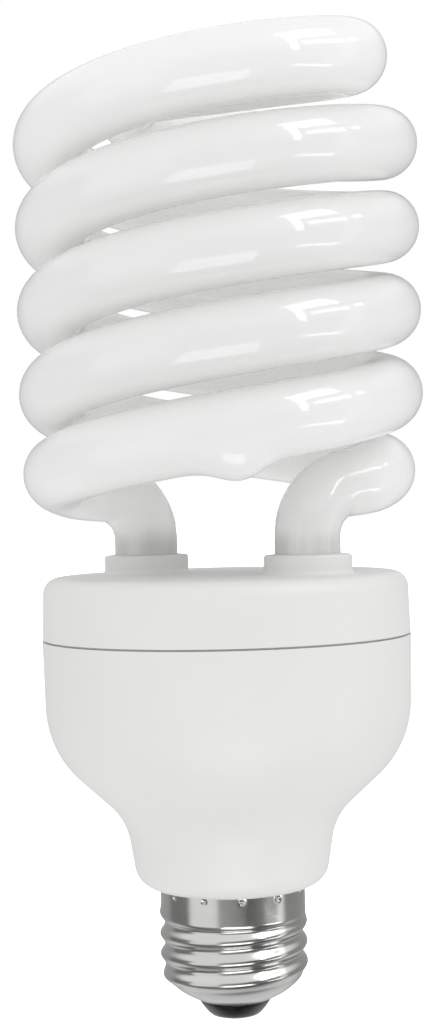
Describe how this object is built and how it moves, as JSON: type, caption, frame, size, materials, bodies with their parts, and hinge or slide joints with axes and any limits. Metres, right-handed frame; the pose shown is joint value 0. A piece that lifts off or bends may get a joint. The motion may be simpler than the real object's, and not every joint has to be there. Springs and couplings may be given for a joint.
{
  "type": "spiral compact fluorescent lamp",
  "caption": "Spiral energy saving lamp: a double helix of white coated glass tube on a moulded ballast housing with a rolled screw cap.",
  "frame": {"origin": "centre of the lower face of the centre contact", "axes": "+Z along the lamp's axis, from the screw cap to the glass"},
  "size_m": [0.0718, 0.0728, 0.175],
  "materials": {
    "coated_glass": "glossy, white phosphor coat inside",
    "white_cement": "matt",
    "white_plastic": "moulded, fine satin",
    "nickel_plate": "bright nickel plate",
    "black_glass": "glossy",
    "contact_metal": "plated, satin",
    "board_laminate": "paper laminate",
    "tinned_wire": "tinned",
    "capacitor_sleeve": "shrink sleeve",
    "ferrite": "sintered",
    "copper_winding": "enamelled wire",
    "film_case": "dipped lacquer",
    "black_epoxy": "moulded epoxy",
    "resistor_lacquer": "lacquer",
    "fuse_sleeve": "shrink sleeve",
    "wire_sheath": "extruded"
  },
  "bodies": {
    "root": {"ballast_housing": "white_plastic", "bulk_capacitor": "capacitor_sleeve", "cap_insulator": "black_glass", "centre_contact": "contact_metal", "choke_core": "ferrite", "choke_winding": "copper_winding", "circuit_board": "board_laminate", "coupling_capacitor": "film_case", "drive_toroid": "ferrite", "filament_lead_1": "tinned_wire", "filament_lead_2": "tinned_wire", "filament_lead_3": "tinned_wire", "filament_lead_4": "tinned_wire", "filter_choke": "ferrite", "fusible_resistor": "fuse_sleeve", "glass_spiral": "coated_glass", "leg_cement_1": "white_cement", "leg_cement_2": "white_cement", "line_wire_lower": "wire_sheath", "line_wire_upper": "wire_sheath", "neutral_wire": "wire_sheath", "rectifier_diode_1": "black_epoxy", "rectifier_diode_2": "black_epoxy", "rectifier_diode_3": "black_epoxy", "rectifier_diode_4": "black_epoxy", "resonance_capacitor": "film_case", "screw_shell": "nickel_plate", "start_resistor_1": "resistor_lacquer", "start_resistor_2": "resistor_lacquer", "start_resistor_3": "resistor_lacquer", "switch_transistor_1": "black_epoxy", "switch_transistor_2": "black_epoxy", "top_cover": "white_plastic", "trigger_diac": "black_epoxy", "wrap_pin_1": "tinned_wire", "wrap_pin_2": "tinned_wire", "wrap_pin_3": "tinned_wire", "wrap_pin_4": "tinned_wire"}
  },
  "joints": []
}
